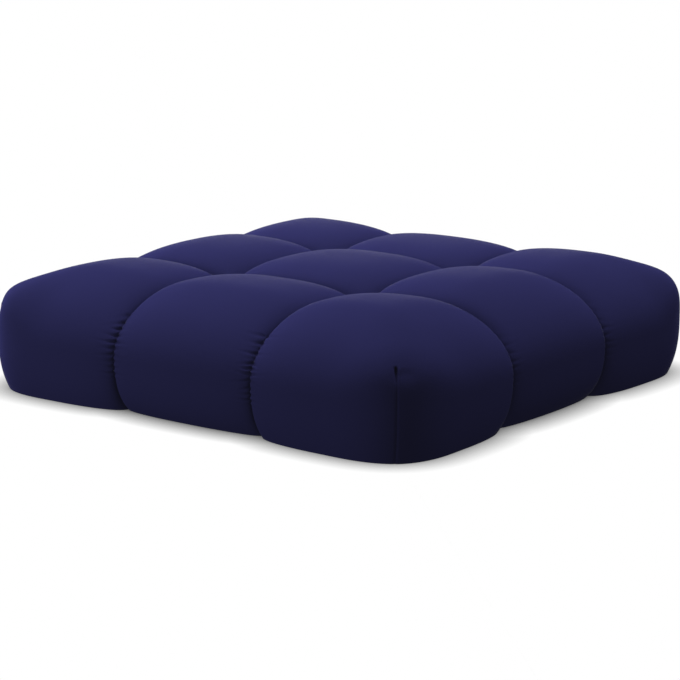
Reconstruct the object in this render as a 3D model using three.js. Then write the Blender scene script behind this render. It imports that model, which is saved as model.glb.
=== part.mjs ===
// A low square lounge pouf, standing on z = 0 and centred on the Z axis. Millimetres, +Z up.
//
// The cover is sewn down in channels that part the filled body into three by three soft lobes.
// The channels run across the top, over the shoulders and down the sides to the floor. Each
// upright corner juts like a cushion's and is drawn in below that by a sewn dart, whose seam runs
// down to the floor from the rim of a shallow hollow.

import * as THREE from "three";
import { mergeVertices } from "three/addons/utils/BufferGeometryUtils.js";

// Plan
const PITCH = 400; // from one lobe's middle to the next
const EDGE_REACH = 214.5; // from an outer lobe's middle to the bottom of a channel on the side
const CORNER_SWELL = 26; // how far a corner lobe's side stands out of that channel
const SIDE_SWELL = 21.5; // the same for the lobes between the corners

// Heights
const CHANNEL_HEIGHT = 268.5; // a channel's bottom, midway between two crossings
const CROSSING_HEIGHT = 240; // where two channels cross
const CROSSING_SHARPNESS = 3;
const MIDDLE_CROWN = 36; // how far the middle lobe's top stands above CHANNEL_HEIGHT
const SIDE_CROWN = 31; // the same for the lobes between the corners
const CORNER_CROWN = 31.5;
const WAIST_HEIGHT = 130; // where the sides reach out furthest

// Roundness. The sections follow rounded squares, and these are their powers: 2 is a circle.
const SHOULDER_POWER = 2;
const EAR_POWER = 4.3; // at the pouf's corners, where the shoulder juts out
const EAR_SPREAD = 2.5;
const CORNER_POWER = 3.05;
const FOOT_POWER = 2.45;
const TOP_SWELL = { flat: 2.5, steep: 1.54 };
const SIDE_SWELL_FORM = { flat: 2.2, steep: 2.28 };

// How far round its curve the foot has come when it meets the floor
const CORNER_FOOT_TUCK = 0.57; // under a corner lobe
const SIDE_FOOT_TUCK = 0.7; // under a lobe between the corners
const DART_TUCK = 0.52;
const CHANNEL_TUCK = 0.76;

// The dart at each upright corner. Its seam stands beside the corner's diagonal, by this share of
// the way out to the side.
const SEAM_SHIFT = 0.085;
const SEAM_SPREAD = 0.5;
const SEAM_DEPTH = 4;
const SEAM_WIDTH = 5;
const SEAM_FADE = 10; // the seam is at its full depth this far below its top
const DART_TOP = 204;
const HOLLOW_DEPTH = 7;
const HOLLOW_WIDTH = 30;
const HOLLOW_HEIGHT = 45;
const HOLLOW_MIDDLE = -18; // beside the seam, back toward the corner's diagonal
const HOLLOW_RIM = 6; // its rim's height above DART_TOP
const HOLLOW_EDGE = 14;
const HOLLOW_ARCH = 0.006;

// Steps of the surface, closest at the channels and at the darts
const INNER_STEPS = [0, 0.3, 0.56, 0.76, 0.89, 0.97, 1]; // from a lobe's middle to a channel
const OUTER_STEPS = [0, 0.22, 0.42, 0.6, 0.75, 0.87, 0.945, 0.98, 1]; // from it to the pouf's edge
const SHOULDER_STEPS = [1, 0.86, 0.73, 0.61, 0.5, 0.4, 0.3, 0.2, 0.1, 0]; // down to the waist
const FOOT_STEPS = [0.86, 0.72, 0.56, 0.4, 0.25, 0.12, 0]; // from the waist down to the floor

const cover = new THREE.MeshStandardMaterial({ color: 0x1f1f4b, roughness: 0.9, metalness: 0 });

// The places from one edge of the pouf to the other, along X or Y alike. side says which half of
// its lobe a place is in. lean runs from 0 in the lobe's middle to 1 at a channel, and out from 0
// in an outer lobe's middle to 1 at the pouf's edge.
function placesAcross() {
  const places = [];
  for (const lobe of [-1, 0, 1]) {
    for (const side of [-1, 1]) {
      const isOuter = side === lobe;
      const steps = isOuter ? OUTER_STEPS : INNER_STEPS;
      const half = steps.map((step) => ({
        lobe,
        side,
        lean: isOuter ? 0 : step,
        out: isOuter ? step : 0,
      }));
      const beforeChannel = isOuter ? half.length : -1;
      places.push(...(side < 0 ? half.slice(1, beforeChannel).reverse() : half));
    }
  }
  return places;
}

// A swell that is 1 in a lobe's middle and 0 at its channels.
function swell(lean, form) {
  return (1 - lean ** form.flat) ** (1 / form.steep);
}

// The height of the top over a place, before the shoulder rounds it off.
function topHeight(across, along) {
  const sidesOnEdge = Math.abs(across.lobe) + Math.abs(along.lobe);
  const crown = [MIDDLE_CROWN, SIDE_CROWN, CORNER_CROWN][sidesOnEdge];
  const dip = (CHANNEL_HEIGHT - CROSSING_HEIGHT) * (across.lean * along.lean) ** CROSSING_SHARPNESS;
  return CHANNEL_HEIGHT - dip + crown * swell(across.lean, TOP_SWELL) * swell(along.lean, TOP_SWELL);
}

// How far a side stands out from the outer lobes' middles, at a place along that side.
function sideReach(place) {
  const most = place.lobe === 0 ? SIDE_SWELL : CORNER_SWELL;
  return EDGE_REACH + most * swell(place.lean, SIDE_SWELL_FORM);
}

// The share of its reach that a side keeps on its way from the waist, 1, to the floor, 0.
function footShare(across, along, heightShare) {
  const fullness = swell(across.lean, SIDE_SWELL_FORM) * swell(along.lean, SIDE_SWELL_FORM);
  const lobeTuck = across.lobe !== 0 && along.lobe !== 0 ? CORNER_FOOT_TUCK : SIDE_FOOT_TUCK;
  const fullTuck = THREE.MathUtils.lerp(lobeTuck, DART_TUCK, across.out * along.out);
  const tuck = THREE.MathUtils.lerp(CHANNEL_TUCK, fullTuck, fullness);
  return (1 - (tuck * (1 - heightShare)) ** FOOT_POWER) ** (1 / FOOT_POWER);
}

function bell(distance) {
  return Math.exp(-(distance ** 2));
}

// The side of its corner's diagonal that a dart's seam is on: 1 toward X and -1 toward Y.
function seamSide(across) {
  return across.side < 0 ? 1 : -1;
}

// Both places with the surface's own corner slid round to the dart's seam. turn runs round the
// corner, from 0 on the side toward X, over 1 at the corner, to 2 on the side toward Y.
function slideToSeam(across, along) {
  const most = Math.max(across.out, along.out);
  if (most === 0) return [across, along];
  const turn = across.out >= along.out ? along.out / most : 2 - across.out / most;
  const inside = THREE.MathUtils.smoothstep(Math.min(turn, 2 - turn), 0, 0.25);
  const slide = SEAM_SHIFT * bell((turn - 1) / SEAM_SPREAD) * inside;
  const slidTurn = turn - seamSide(across) * slide;
  return [
    { ...across, out: most * THREE.MathUtils.clamp(2 - slidTurn, 0, 1) },
    { ...along, out: most * THREE.MathUtils.clamp(slidTurn, 0, 1) },
  ];
}

// How deep a dart draws the cover in, at a distance beside its seam and at a height. The distance
// is negative back toward the corner's diagonal.
function dartDepth(beside, height) {
  const below = DART_TOP - height;
  const seam = SEAM_DEPTH * THREE.MathUtils.smoothstep(below, 0, SEAM_FADE) * bell(beside / SEAM_WIDTH);
  const offMiddle = beside - HOLLOW_MIDDLE;
  const underRim = below + HOLLOW_RIM - HOLLOW_ARCH * offMiddle ** 2;
  const start = THREE.MathUtils.smoothstep(underRim, 0, HOLLOW_EDGE);
  const fall = start * Math.exp(-Math.max(underRim, 0) / HOLLOW_HEIGHT);
  return seam + HOLLOW_DEPTH * fall * bell(offMiddle / HOLLOW_WIDTH);
}

// How far a place is pulled in, so that the top rounds over the shoulder into the sides.
function roundingPull(across, along, rise) {
  const corner = (across.out ** CORNER_POWER + along.out ** CORNER_POWER) ** (1 / CORNER_POWER);
  const pullWith = (power) => (corner ** power + rise ** power) ** (-1 / power);
  const onCorner = across.out * along.out * pullWith(SHOULDER_POWER) ** 2 * 4 ** (1 / CORNER_POWER);
  return pullWith(THREE.MathUtils.lerp(SHOULDER_POWER, EAR_POWER, onCorner ** EAR_SPREAD));
}

// A point of the cover. rise runs from 1 on the top and shoulder to 0 at the waist, and
// heightShare from 1 at the waist to 0 on the floor.
function coverPoint(meshAcross, meshAlong, rise, heightShare) {
  const [across, along] = slideToSeam(meshAcross, meshAlong);
  const pull = roundingPull(across, along, rise);
  const share = pull * footShare(across, along, heightShare);
  const climb = (topHeight(across, along) - WAIST_HEIGHT) * pull * rise;
  const z = WAIST_HEIGHT * heightShare + climb;

  let outX = sideReach(along) * across.out * share;
  let outY = sideReach(across) * along.out * share;
  const offSeam = seamSide(across) * (outX - outY) - SEAM_SHIFT * Math.max(outX, outY);
  const onCorner = THREE.MathUtils.smoothstep(Math.min(across.out, along.out), 0, 0.5);
  const depth = dartDepth(offSeam / Math.SQRT2, z) * onCorner;
  outX = Math.max(0, outX - depth / Math.SQRT2);
  outY = Math.max(0, outY - depth / Math.SQRT2);

  const x = across.lobe * PITCH + across.side * (outX + across.lean * PITCH / 2);
  const y = along.lobe * PITCH + along.side * (outY + along.lean * PITCH / 2);
  return new THREE.Vector3(x, y, z);
}

// The pouf's edge, once round, as pairs of places.
function edgeLoop(places) {
  const first = places[0];
  const last = places[places.length - 1];
  return [
    ...places.slice(1).map((place) => [place, first]),
    ...places.slice(1).map((place) => [last, place]),
    ...places.slice(0, -1).reverse().map((place) => [place, last]),
    ...places.slice(0, -1).reverse().map((place) => [first, place]),
  ];
}

function poufGeometry() {
  const corners = [];
  const addQuad = (a, b, c, d) => corners.push(a, b, c, a, c, d);

  const places = placesAcross();
  const top = places.map((across) => places.map((along) => coverPoint(across, along, 1, 1)));
  for (let i = 1; i < places.length; i++) {
    for (let j = 1; j < places.length; j++) {
      addQuad(top[i - 1][j - 1], top[i][j - 1], top[i][j], top[i - 1][j]);
    }
  }

  const loop = edgeLoop(places);
  const rings = [
    ...SHOULDER_STEPS.map((rise) => loop.map(([across, along]) => coverPoint(across, along, rise, 1))),
    ...FOOT_STEPS.map((share) => loop.map(([across, along]) => coverPoint(across, along, 0, share))),
  ];
  for (let k = 1; k < rings.length; k++) {
    const [upper, lower] = [rings[k - 1], rings[k]];
    loop.forEach((_, n) => {
      const next = (n + 1) % loop.length;
      addQuad(lower[n], lower[next], upper[next], upper[n]);
    });
  }

  const floorRing = rings[rings.length - 1];
  const floorOutline = floorRing.map(({ x, y }) => new THREE.Vector2(x, y));
  for (const [a, b, c] of THREE.ShapeUtils.triangulateShape(floorOutline, [])) {
    corners.push(floorRing[c], floorRing[b], floorRing[a]);
  }

  return mergeVertices(new THREE.BufferGeometry().setFromPoints(corners));
}

const pouf = new THREE.Mesh(poufGeometry(), cover);
pouf.name = "pouf";

const model = new THREE.Group();
model.add(pouf);

export default model;
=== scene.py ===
"""A low square lounge pouf in navy stretch fabric, standing in soft studio light. Metres, +Z up.

The cover is one closed surface over a grid of places, from the top over the shoulders and down the
sides to the floor. Sewn channels part it into three by three soft lobes, and each upright corner
has a sewn dart.
"""

import math
from collections import namedtuple

import bpy
import numpy as np
from mathutils import Matrix, Vector


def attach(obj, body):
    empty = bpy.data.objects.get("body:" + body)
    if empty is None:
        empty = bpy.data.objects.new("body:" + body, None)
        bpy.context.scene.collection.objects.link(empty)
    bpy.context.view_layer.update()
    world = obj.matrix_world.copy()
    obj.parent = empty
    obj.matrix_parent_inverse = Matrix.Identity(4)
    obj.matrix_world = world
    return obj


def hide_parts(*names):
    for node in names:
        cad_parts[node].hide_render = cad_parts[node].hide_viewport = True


# Plan, as in the part's source
PITCH = 0.400  # from one lobe's middle to the next
EDGE_REACH = 0.2145  # from an outer lobe's middle to the bottom of a channel on the side
CORNER_SWELL = 0.026  # how far a corner lobe's side stands out of that channel
SIDE_SWELL = 0.0215  # the same for the lobes between the corners

# Heights
CHANNEL_HEIGHT = 0.2685  # a channel's bottom, midway between two crossings
CROSSING_HEIGHT = 0.240  # where two channels cross
CROSSING_SHARPNESS = 3.0
WAIST_HEIGHT = 0.130  # where the sides reach out furthest

# How far each lobe's top stands above CHANNEL_HEIGHT, by its place along X and then along Y
CROWNS = (
    (0.033, 0.0285, 0.0285),
    (0.038, 0.034, 0.034),
    (0.031, 0.026, 0.030),
)

# Roundness. The sections follow rounded squares, and these are their powers: 2 is a circle.
SHOULDER_POWER = 2.0
EAR_POWERS = ((3.2, 5.0), (5.0, 5.0))  # at the pouf's corners, by side along X and then along Y
EAR_SPREAD = 2.5
CORNER_POWER = 3.05
FOOT_POWER = 2.45

# The powers of a swell: how flat it is in a lobe's middle, and how steeply it ends
TOP_SWELL = (2.5, 1.54)
SIDE_SWELL_FORM = (2.2, 2.28)

# How far round its curve the foot has come when it meets the floor
CORNER_FOOT_TUCK = 0.57  # under a corner lobe
SIDE_FOOT_TUCK = 0.70  # under a lobe between the corners
DART_TUCK = 0.52
CHANNEL_TUCK = 0.74

# The fold that the cover makes where it goes down into a channel
TOP_FOLD_DEPTH = 0.014
SIDE_FOLD_DEPTH = 0.004
FOLD_WIDTH = 0.010

# The dart at each upright corner. Its seam stands beside the corner's diagonal, by this share of
# the way out to the side.
SEAM_SHIFT = 0.085
SEAM_SPREAD = 0.5
SEAM_INSET = 0.25  # how far round from the middle of a side the shift has its full effect
SEAM_DEPTH = 0.0022
SEAM_WIDTH = 0.0022
SEAM_FADE = 0.008  # the seam is at its full depth this far below its top
DART_TOP = 0.214
DART_INSET = 0.5  # how far out from a lobe's middle the dart has its full effect

# The slit that is pinched in at the top of the seam, and the raised lip beside it
PINCH_DEPTH = 0.010
PINCH_WIDTH = 0.0028
PINCH_LENGTH = 0.042
LIP_DEPTH = -0.0014
LIP_WIDTH = 0.0020
LIP_MIDDLE = -0.0058

# The hollow around the seam, and the wider dimple about its top. Their middle is beside the seam,
# back toward the corner's diagonal.
HOLLOW_MIDDLE = -0.018
HOLLOW_DEPTH = 0.0038
HOLLOW_WIDTH = 0.026
HOLLOW_HEIGHT = 0.045
HOLLOW_EDGE = 0.020
HOLLOW_RIM = -0.001  # its rim's height above DART_TOP
HOLLOW_ARCH = 6.0
DIMPLE_DEPTH = 0.0080
DIMPLE_WIDTH = 0.040
DIMPLE_HEIGHT = 0.034

# Tucks, where the cover is gathered along the channels on the sides. Their heights are listed by
# side, with left and right along X and front and back along Y, and then by the channel's place
# along that side.
TUCK_HEIGHTS = {
    "left": {
        -1: (0.224, 0.209, 0.190, 0.172, 0.161, 0.149, 0.136, 0.119, 0.104, 0.091),
        1: (0.221, 0.206, 0.192, 0.178, 0.166, 0.153, 0.139, 0.124, 0.108, 0.094),
    },
    "front": {
        -1: (0.226, 0.210, 0.193, 0.177, 0.160, 0.146, 0.128, 0.112),
        1: (0.222, 0.207, 0.188, 0.170, 0.153, 0.138, 0.121, 0.103),
    },
    "right": {
        -1: (0.214, 0.198, 0.181, 0.168, 0.150, 0.133),
        1: (0.209, 0.193, 0.176, 0.157, 0.139, 0.120),
    },
    "back": {
        -1: (0.216, 0.201, 0.187, 0.169, 0.152, 0.131),
        1: (0.210, 0.190, 0.173, 0.161, 0.144, 0.126),
    },
}
TUCK_DEPTHS = {"left": 0.006, "front": 0.0018, "right": 0.004, "back": 0.004}
TUCK_HALF_HEIGHT = 0.0030
TUCK_REACH = 0.011  # how far from the channel a tuck fades
TUCK_START = 0.003  # how far from the channel a tuck begins
TUCK_SEED = 7

# A tuck's share of its full depth, its share of its full reach, and its slope away from level
TUCK_LEAST = (0.6, 0.7, -0.3)
TUCK_MOST = (1.0, 1.3, 0.3)

# Mesh steps
INNER_STEPS = 18  # from a lobe's middle to a channel
OUTER_STEPS = 26  # from it to the pouf's edge
SHOULDER_STEPS = 64  # from the pouf's edge down to the waist
FOOT_STEPS = 50  # from the waist down to the floor
INNER_GRADING = 1.8
OUTER_GRADING = 1.9

# Camera, aimed at the point that is in the middle of the picture. Its angles are in degrees.
CAMERA_AIM = (-0.0266, -0.0060, 0.0994)
CAMERA_AZIMUTH = -53.30
CAMERA_ELEVATION = 12.26
CAMERA_ROLL = 0.29
CAMERA_DISTANCE = 5.810
CAMERA_RANGE = 200
LENS = 126.6  # millimetres
SENSOR = 36.0  # millimetres
LENS_GLARE = 0.003  # how far the lens lifts the darkest parts of the picture

# Fabric
FABRIC_COLOR = (0.0195, 0.0195, 0.080, 1)
FABRIC_ROUGHNESS = 0.9
FABRIC_SPECULAR = 0.0
FABRIC_SHEEN = 0.08
SHEEN_ROUGHNESS = 0.15
WEAVE_PITCH = 0.0011
WEAVE_DEPTH = 0.00012
WEAVE_STRENGTH = 0.35
WEAVE_WANDER = 0.6

# Floor, which glows evenly, with a painted shadow around what stands on it
FLOOR_HALF_SIDE = 60
SHADOW_REACH = 0.070
SHADOW_SAMPLES = 16

# Softboxes: azimuth from +X and elevation in degrees, watts
SOFTBOXES = {
    "back_right": (0, 12, 142),
    "back_left": (90, 12, 190),
    "back_high": (60, 40, 32),
    "left": (150, 12, 40),
    "right": (300, 40, 25),
    "top": (0, 90, 88),
}
SOFTBOX_AIM = (0, 0, 0.15)
SOFTBOX_DISTANCE = 3.5
SOFTBOX_SIZE = 1.6
ROOM_GLOW = 0.15

Place = namedtuple("Place", "lobe side lean out")


def graded(count, grading):
    """Steps from 0 to 1 that get closer towards 1."""
    return 1 - (1 - np.linspace(0, 1, count + 1)) ** grading


def places_across():
    """The places from one edge of the pouf to the other, as one array for each field.

    side says which half of its lobe a place is in. lean runs from 0 in the lobe's middle to 1 at
    a channel, and out from 0 in an outer lobe's middle to 1 at the pouf's edge.
    """
    inner_steps = graded(INNER_STEPS, INNER_GRADING)
    outer_steps = graded(OUTER_STEPS, OUTER_GRADING)
    rows = []
    for lobe in (-1, 0, 1):
        for side in (-1, 1):
            if side == lobe:
                half = [(lobe, side, 0, step) for step in outer_steps]
            else:
                half = [(lobe, side, step, 0) for step in inner_steps]
            if side < 0:
                half = half[1:] if side == lobe else half[1:-1]
                half.reverse()
            rows += half
    return Place(*np.array(rows, float).T)


def pick(places, index):
    return Place(*(field[index] for field in places))


def swell(lean, form):
    """1 in a lobe's middle and 0 at its channels."""
    flat, steep = form
    return np.clip(1 - lean**flat, 0, 1) ** (1 / steep)


def fold(lean):
    """The share of its full depth that the cover has folded in to, beside a channel."""
    return np.exp((lean - 1) * (PITCH / 2 / FOLD_WIDTH))


def bell(distance):
    return np.exp(-(distance**2))


def smooth(value):
    """0 below 0 and 1 above 1, with a smooth rise between them."""
    t = np.clip(value, 0, 1)
    return t * t * (3 - 2 * t)


def top_height(across, along):
    """The height of the top over a place, before the shoulder rounds it off."""
    crown = np.array(CROWNS)[across.lobe.astype(int) + 1, along.lobe.astype(int) + 1]
    dip = (CHANNEL_HEIGHT - CROSSING_HEIGHT) * (across.lean * along.lean) ** CROSSING_SHARPNESS
    dip = dip + TOP_FOLD_DEPTH * np.maximum(fold(across.lean), fold(along.lean))
    rise = crown * swell(across.lean, TOP_SWELL) * swell(along.lean, TOP_SWELL)
    return CHANNEL_HEIGHT - dip + rise


def side_reach(place):
    """How far a side stands out from the outer lobes' middles, at a place along it."""
    most = np.where(place.lobe == 0, SIDE_SWELL, CORNER_SWELL)
    fullness = swell(place.lean, SIDE_SWELL_FORM)
    return EDGE_REACH + most * fullness - SIDE_FOLD_DEPTH * fold(place.lean)


def foot_share(across, along, height_share):
    """The share of its reach that a side keeps on its way from the waist, 1, to the floor, 0."""
    is_corner = (across.lobe != 0) & (along.lobe != 0)
    tuck = np.where(is_corner, CORNER_FOOT_TUCK, SIDE_FOOT_TUCK)
    tuck = tuck + (DART_TUCK - tuck) * across.out * along.out
    fullness = swell(across.lean, SIDE_SWELL_FORM) * swell(along.lean, SIDE_SWELL_FORM)
    tuck = CHANNEL_TUCK + (tuck - CHANNEL_TUCK) * fullness
    return (1 - (tuck * (1 - height_share)) ** FOOT_POWER) ** (1 / FOOT_POWER)


def seam_side(across):
    """The side of its corner's diagonal that a dart's seam is on: 1 toward X and -1 toward Y."""
    return np.where(across.side < 0, 1, -1)


def slide_to_seam(across, along):
    """Both places with the mesh's own corner slid round to the dart's seam.

    turn runs round the corner, from 0 on the side toward X, over 1 at the corner, to 2 on the
    side toward Y.
    """
    most = np.maximum(across.out, along.out)
    safe = np.maximum(most, 1e-9)
    turn = np.where(across.out >= along.out, along.out / safe, 2 - across.out / safe)
    inside = smooth(np.minimum(turn, 2 - turn) / SEAM_INSET)
    turn = turn - seam_side(across) * SEAM_SHIFT * bell((turn - 1) / SEAM_SPREAD) * inside
    slid_across = across._replace(out=most * np.clip(2 - turn, 0, 1))
    slid_along = along._replace(out=most * np.clip(turn, 0, 1))
    return slid_across, slid_along


def dart_depth(beside, height):
    """How deep a dart draws the cover in, at a distance beside its seam and at a height.

    The distance is negative back toward the corner's diagonal.
    """
    below = DART_TOP - height
    start = smooth(below / SEAM_FADE)
    seam = SEAM_DEPTH * start * bell(beside / SEAM_WIDTH)
    pinch = PINCH_DEPTH * bell(beside / PINCH_WIDTH)
    lip = LIP_DEPTH * bell((beside - LIP_MIDDLE) / LIP_WIDTH)
    gathered = start * smooth(1 - below / PINCH_LENGTH) * (pinch + lip)
    off_middle = beside - HOLLOW_MIDDLE
    under_rim = below + HOLLOW_RIM - HOLLOW_ARCH * off_middle**2
    fall = smooth(under_rim / HOLLOW_EDGE) * np.exp(-np.maximum(under_rim, 0) / HOLLOW_HEIGHT)
    hollow = HOLLOW_DEPTH * fall * bell(off_middle / HOLLOW_WIDTH)
    dimple = DIMPLE_DEPTH * bell(np.hypot(off_middle / DIMPLE_WIDTH, below / DIMPLE_HEIGHT))
    return seam + gathered + hollow + dimple


def rounding_pull(across, along, rise):
    """How far a place is pulled in, so that the top rounds over the shoulder into the sides.

    on_corner is 1 on a corner's upright edge, and falls to 0 toward the lobe's middle.
    """
    corner = (across.out**CORNER_POWER + along.out**CORNER_POWER) ** (1 / CORNER_POWER)
    plain_pull = (corner**SHOULDER_POWER + rise**SHOULDER_POWER) ** (-1 / SHOULDER_POWER)
    on_corner = across.out * along.out * plain_pull**2 * 4 ** (1 / CORNER_POWER)
    ear = np.array(EAR_POWERS)[(across.side > 0).astype(int), (along.side > 0).astype(int)]
    power = SHOULDER_POWER + (ear - SHOULDER_POWER) * on_corner**EAR_SPREAD
    return (corner**power + rise**power) ** (-1 / power)


def cover_points(across, along, rise, height_share):
    """Points of the cover.

    rise runs from 1 on the top and shoulder to 0 at the waist, and height_share from 1 at the
    waist to 0 on the floor.
    """
    across, along = slide_to_seam(across, along)
    pull = rounding_pull(across, along, rise)
    share = pull * foot_share(across, along, height_share)
    z = WAIST_HEIGHT * height_share + (top_height(across, along) - WAIST_HEIGHT) * pull * rise

    out_x = side_reach(along) * across.out * share
    out_y = side_reach(across) * along.out * share
    off_seam = seam_side(across) * (out_x - out_y) - SEAM_SHIFT * np.maximum(out_x, out_y)
    near_corner = smooth(np.minimum(across.out, along.out) / DART_INSET)
    depth = dart_depth(off_seam / math.sqrt(2), z) * near_corner
    out_x = np.maximum(0, out_x - depth / math.sqrt(2))
    out_y = np.maximum(0, out_y - depth / math.sqrt(2))

    x = across.lobe * PITCH + across.side * (out_x + across.lean * PITCH / 2)
    y = along.lobe * PITCH + along.side * (out_y + along.lean * PITCH / 2)
    return np.stack([x, y, z], axis=-1)


def outward_normals(rings):
    """The normals of the sides, from rings of points that run from the shoulder to the floor."""
    along_ring = np.roll(rings, -1, axis=1) - np.roll(rings, 1, axis=1)
    down = np.gradient(rings, axis=0)
    normals = np.cross(down, along_ring)
    return normals / np.maximum(np.linalg.norm(normals, axis=-1, keepdims=True), 1e-12)


def tuck_depths(across, along, height):
    """How deep the tucks draw the sides in beside the channels."""
    random = np.random.default_rng(TUCK_SEED)
    depths = np.zeros(height.shape)
    sides = {
        "left": (-1, across, along),
        "right": (1, across, along),
        "front": (-1, along, across),
        "back": (1, along, across),
    }
    for name, (sign, outward, sideways) in sides.items():
        on_side = (outward.out >= 1) & (outward.side == sign) & (sideways.out == 0)
        beside = (1 - sideways.lean) * PITCH / 2
        for channel, heights in TUCK_HEIGHTS[name].items():
            at_channel = np.where(sideways.lobe == 0, sideways.side, sideways.lobe) == channel
            for middle in heights:
                strength, reach, slope = random.uniform(TUCK_LEAST, TUCK_MOST)
                off_tuck = (height - middle - slope * beside) / TUCK_HALF_HEIGHT
                wave = (1 - off_tuck**2) * np.exp(-(off_tuck**2) / 2)
                fade = np.exp(-beside / (TUCK_REACH * reach)) * smooth(beside / TUCK_START)
                depth = TUCK_DEPTHS[name] * strength * wave * fade
                depths += np.where(on_side & at_channel, depth, 0)
    return depths


def edge_loop(count):
    """The pouf's edge, once round from above, as indices into the places along X and Y."""
    ahead = np.arange(1, count)
    back = np.arange(count - 2, -1, -1)
    first = np.zeros(count - 1, int)
    last = first + count - 1
    loop_x = np.concatenate([ahead, last, back, first])
    loop_y = np.concatenate([first, ahead, last, back])
    return loop_x, loop_y


def side_rings(places, loop_x, loop_y):
    """Rings of points from just below the pouf's top edge down to the floor."""
    rise = np.linspace(1, 0, SHOULDER_STEPS + 1)[1:]
    share = np.linspace(1, 0, FOOT_STEPS + 1)[1:]
    shape = (SHOULDER_STEPS + FOOT_STEPS, len(loop_x))
    rises = np.broadcast_to(np.append(rise, np.zeros(FOOT_STEPS))[:, None], shape)
    shares = np.broadcast_to(np.append(np.ones(SHOULDER_STEPS), share)[:, None], shape)
    across = pick(places, np.broadcast_to(loop_x, shape))
    along = pick(places, np.broadcast_to(loop_y, shape))
    rings = cover_points(across, along, rises, shares)
    depths = tuck_depths(across, along, rings[..., 2])
    return rings - depths[..., None] * outward_normals(rings)


def quads(*corners):
    """Four-sided faces, from four equal grids of vertex indices."""
    return np.stack(corners, axis=-1).reshape(-1, 4)


def cover_shape():
    """Vertices, faces and the floor ring of the cover, as one surface that is open underneath."""
    places = places_across()
    count = len(places.lobe)
    i, j = np.meshgrid(np.arange(count), np.arange(count), indexing="ij")
    ones = np.ones(i.shape)
    top = cover_points(pick(places, i), pick(places, j), ones, ones).reshape(-1, 3)
    grid = i * count + j
    top_faces = quads(grid[:-1, :-1], grid[1:, :-1], grid[1:, 1:], grid[:-1, 1:])

    loop_x, loop_y = edge_loop(count)
    rings = side_rings(places, loop_x, loop_y)
    ring_index = len(top) + np.arange(rings.shape[0] * rings.shape[1]).reshape(rings.shape[:2])
    ring_index = np.vstack([loop_x * count + loop_y, ring_index])
    upper, lower = ring_index[:-1], ring_index[1:]
    side_faces = quads(lower, np.roll(lower, -1, 1), np.roll(upper, -1, 1), upper)

    vertices = np.vstack([top, rings.reshape(-1, 3)])
    faces = np.vstack([top_faces, side_faces])
    return vertices, faces, ring_index[-1]


def make_cover():
    """The cover, closed underneath by one flat face with a sharp edge."""
    vertices, faces, floor_ring = cover_shape()
    mesh = bpy.data.meshes.new("pouf_cover")
    polygons = faces.tolist() + [floor_ring[::-1].tolist()]
    mesh.from_pydata(vertices.tolist(), [], polygons)
    mesh.update()
    smooth_faces = np.ones(len(polygons), bool)
    smooth_faces[-1] = False
    mesh.polygons.foreach_set("use_smooth", smooth_faces)
    ring = set(floor_ring.tolist())
    for edge in mesh.edges:
        edge.use_edge_sharp = edge.vertices[0] in ring and edge.vertices[1] in ring
    cover = bpy.data.objects.new("pouf_cover", mesh)
    bpy.context.scene.collection.objects.link(cover)
    return cover


def add_weave(material):
    """Bumps the material's shader with fine ribs along X, Y and Z, as a dense stretch weave has."""
    nodes = material.node_tree.nodes
    links = material.node_tree.links
    place = nodes.new("ShaderNodeTexCoord")
    height = None
    for direction in ("X", "Y", "Z"):
        ribs = nodes.new("ShaderNodeTexWave")
        ribs.bands_direction = direction
        # At a scale of 1 the ribs repeat every tau / 20 metres.
        ribs.inputs["Scale"].default_value = 1 / (WEAVE_PITCH * 20) * math.tau
        ribs.inputs["Distortion"].default_value = WEAVE_WANDER
        links.new(place.outputs["Object"], ribs.inputs["Vector"])
        if height is None:
            height = ribs.outputs["Fac"]
            continue
        total = nodes.new("ShaderNodeMath")
        total.operation = "ADD"
        links.new(height, total.inputs[0])
        links.new(ribs.outputs["Fac"], total.inputs[1])
        height = total.outputs[0]
    bump = nodes.new("ShaderNodeBump")
    bump.inputs["Strength"].default_value = WEAVE_STRENGTH
    bump.inputs["Distance"].default_value = WEAVE_DEPTH
    links.new(height, bump.inputs["Height"])
    links.new(bump.outputs["Normal"], nodes["Principled BSDF"].inputs["Normal"])


def fabric_material():
    """Matt navy fabric with a faint sheen at grazing angles."""
    material = bpy.data.materials.new("cover_fabric")
    material.use_nodes = True
    shader = material.node_tree.nodes["Principled BSDF"]
    shader.inputs["Base Color"].default_value = FABRIC_COLOR
    shader.inputs["Roughness"].default_value = FABRIC_ROUGHNESS
    shader.inputs["Specular IOR Level"].default_value = FABRIC_SPECULAR
    shader.inputs["Sheen Weight"].default_value = FABRIC_SHEEN
    shader.inputs["Sheen Roughness"].default_value = SHEEN_ROUGHNESS
    add_weave(material)
    return material


def floor_material():
    """White paper that glows evenly, with a soft painted shadow close around what stands on it,
    darkened in by ambient occlusion.
    """
    material = bpy.data.materials.new("floor_white")
    material.use_nodes = True
    nodes = material.node_tree.nodes
    links = material.node_tree.links
    nodes.remove(nodes["Principled BSDF"])
    # Painted shadow: ambient occlusion darkens the floor's glow near the pouf, in place of a shadow
    # cast by the softboxes.
    painted_shadow = nodes.new("ShaderNodeAmbientOcclusion")
    painted_shadow.inputs["Distance"].default_value = SHADOW_REACH
    painted_shadow.samples = SHADOW_SAMPLES
    paper = nodes.new("ShaderNodeEmission")
    paper.inputs["Strength"].default_value = 1.0
    links.new(painted_shadow.outputs["AO"], paper.inputs["Color"])
    links.new(paper.outputs["Emission"], nodes["Material Output"].inputs["Surface"])
    return material


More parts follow.
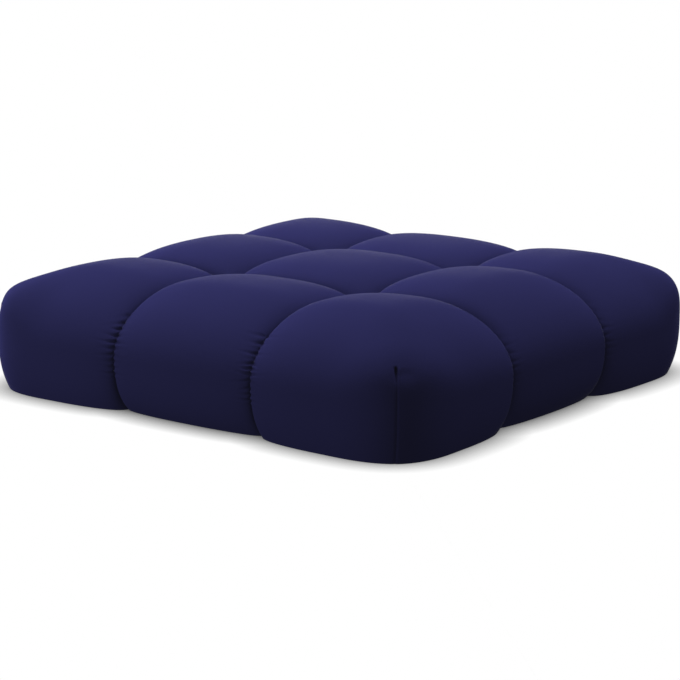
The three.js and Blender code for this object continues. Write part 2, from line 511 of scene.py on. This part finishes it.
def make_floor():
    """A wide white floor, which lights nothing itself."""
    far = FLOOR_HALF_SIDE
    mesh = bpy.data.meshes.new("floor")
    corners = [(-far, -far, 0), (far, -far, 0), (far, far, 0), (-far, far, 0)]
    mesh.from_pydata(corners, [], [(0, 1, 2, 3)])
    mesh.materials.append(floor_material())
    floor = bpy.data.objects.new("floor", mesh)
    bpy.context.scene.collection.objects.link(floor)
    floor.visible_diffuse = False
    floor.visible_glossy = False


def aimed(place, target, roll=0.0):
    """The matrix of a camera or lamp at a place, looking at a target."""
    look = (Vector(target) - Vector(place)).to_track_quat("-Z", "Y").to_matrix().to_4x4()
    return Matrix.Translation(place) @ look @ Matrix.Rotation(roll, 4, "Z")


def make_softbox(name, azimuth, elevation, watts):
    """A round softbox that looks at SOFTBOX_AIM from a direction in degrees."""
    data = bpy.data.lights.new("softbox_" + name, "AREA")
    data.shape = "DISK"
    data.size = SOFTBOX_SIZE
    data.energy = watts
    lamp = bpy.data.objects.new(data.name, data)
    bpy.context.scene.collection.objects.link(lamp)
    raised = Matrix.Rotation(-math.radians(elevation), 3, "Y")
    turned = Matrix.Rotation(math.radians(azimuth), 3, "Z") @ raised
    aim = Vector(SOFTBOX_AIM)
    lamp.matrix_world = aimed(aim + turned @ Vector((SOFTBOX_DISTANCE, 0, 0)), aim)


def light_the_studio():
    """The SOFTBOXES around the pouf, in a white room that glows faintly."""
    world = bpy.data.worlds.new("studio")
    world.use_nodes = True
    background = world.node_tree.nodes["Background"]
    background.inputs["Color"].default_value = (1, 1, 1, 1)
    background.inputs["Strength"].default_value = ROOM_GLOW
    bpy.context.scene.world = world
    for name, (azimuth, elevation, watts) in SOFTBOXES.items():
        make_softbox(name, azimuth, elevation, watts)


def make_camera():
    """The camera, on the side of its aim that the azimuth and elevation give."""
    azimuth = math.radians(CAMERA_AZIMUTH)
    elevation = math.radians(CAMERA_ELEVATION)
    back_x = math.sin(azimuth) * math.cos(elevation)
    back_y = -math.cos(azimuth) * math.cos(elevation)
    back = Vector((back_x, back_y, math.sin(elevation)))
    data = bpy.data.cameras.new("camera")
    data.lens = LENS
    data.sensor_width = SENSOR
    data.clip_end = CAMERA_RANGE
    camera = bpy.data.objects.new("camera", data)
    bpy.context.scene.collection.objects.link(camera)
    aim = Vector(CAMERA_AIM)
    camera.matrix_world = aimed(aim + back * CAMERA_DISTANCE, aim, math.radians(CAMERA_ROLL))
    bpy.context.scene.camera = camera


def set_view():
    """A plain view of the picture, with the lens's glare over its darkest parts."""
    view = bpy.context.scene.view_settings
    view.view_transform = "Standard"
    view.use_curve_mapping = True
    view.curve_mapping.black_level = (-LENS_GLARE, -LENS_GLARE, -LENS_GLARE)
    view.curve_mapping.update()


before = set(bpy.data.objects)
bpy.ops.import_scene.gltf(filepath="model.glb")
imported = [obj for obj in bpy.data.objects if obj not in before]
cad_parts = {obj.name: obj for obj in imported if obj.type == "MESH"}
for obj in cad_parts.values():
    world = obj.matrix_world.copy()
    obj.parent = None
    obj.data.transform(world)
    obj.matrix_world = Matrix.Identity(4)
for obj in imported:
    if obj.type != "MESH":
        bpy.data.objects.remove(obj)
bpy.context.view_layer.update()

set_view()
make_camera()
light_the_studio()
make_floor()

cover = make_cover()
cover.data.materials.append(fabric_material())
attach(cover, "root")
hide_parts("pouf")
